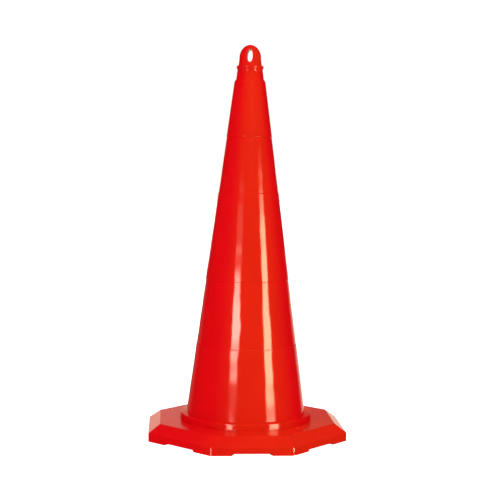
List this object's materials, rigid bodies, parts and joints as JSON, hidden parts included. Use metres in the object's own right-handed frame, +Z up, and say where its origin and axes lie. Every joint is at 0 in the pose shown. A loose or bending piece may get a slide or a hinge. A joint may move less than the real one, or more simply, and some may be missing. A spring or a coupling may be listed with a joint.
{
  "type": "traffic cone",
  "caption": "Tall hollow traffic cone with a lifting eye, two shallow bands, a round collar and an eight-sided ballasted base on corner feet.",
  "frame": {"origin": "on the floor, under the cone's axis, at the middle of the base", "axes": "+Z up the cone's axis, -Y out of the front flat of the base, +X to the right of someone facing that flat"},
  "size_m": [0.5, 0.5, 1],
  "materials": {
    "body_plastic": "glossy moulded polyethylene, signal red-orange",
    "eye_plastic": "glossy moulded polyethylene, signal red-orange",
    "clip_plastic": "natural nylon",
    "base_plastic": "glossy moulded polyethylene, signal red-orange",
    "ballast": "recycled rubber, matt",
    "pan_plastic": "black recycled plastic, fine grain",
    "screw_steel": "zinc-plated",
    "pad_rubber": "black rubber, matt"
  },
  "bodies": {
    "base": {"base_shell": "base_plastic", "ballast_ring": "ballast", "base_pan": "pan_plastic", "pan_screws": "screw_steel", "foot_pads": "pad_rubber"},
    "cone": {"cone_body": "body_plastic"},
    "eye": {"eye_cap": "eye_plastic", "eye_clip": "clip_plastic"}
  },
  "joints": [
    {"name": "body_twist_lock", "type": "hinge", "parent": "base", "child": "cone", "pos_m": [0, 0, 0.042], "axis": [0, 0, 1], "range_deg": [0, 20]},
    {"name": "eye_swivel", "type": "hinge", "parent": "cone", "child": "eye", "pos_m": [0, 0, 0.931], "axis": [0, 0, 1], "continuous": true}
  ]
}
